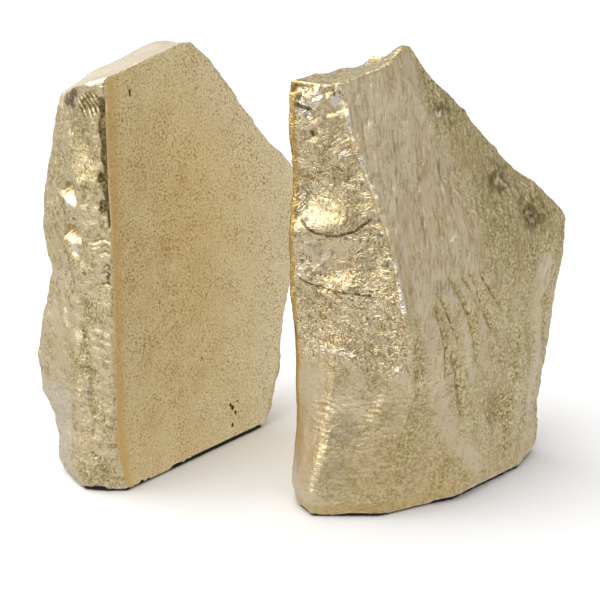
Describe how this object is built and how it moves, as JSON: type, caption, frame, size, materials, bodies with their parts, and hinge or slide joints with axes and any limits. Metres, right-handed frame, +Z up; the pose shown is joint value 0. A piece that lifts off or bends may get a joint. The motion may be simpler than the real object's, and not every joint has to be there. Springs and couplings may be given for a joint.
{
  "type": "book ends",
  "caption": "Split-rock book ends: heavy cast brass half boulders with one flat face each, which stand at the two ends of a row of books and slide along the shelf.",
  "frame": {"origin": "on the shelf, under the middle of the box around the pair as they stand", "axes": "+X along the row of books, from the left book end to the right one; +Y from the front of the shelf to its back; +Z up"},
  "size_m": [0.198, 0.1986, 0.2113],
  "materials": {
    "brass": "rough sand-cast, partly polished",
    "plate_steel": "mill finish",
    "screw_steel": "zinc plated",
    "pad_rubber": "matt black sheet rubber"
  },
  "bodies": {
    "left_book_end": {"left_casting": "brass", "left_base_plate": "plate_steel", "left_base_screws": "screw_steel", "left_rubber_pad": "pad_rubber"},
    "right_book_end": {"right_casting": "brass", "right_base_plate": "plate_steel", "right_base_screws": "screw_steel", "right_rubber_pad": "pad_rubber"}
  },
  "joints": [
    {"name": "right_along_shelf", "type": "slide", "parent": "left_book_end", "child": "right_book_end", "axis": [1, 0, 0], "range_m": [-0.066, 0.3]}
  ]
}
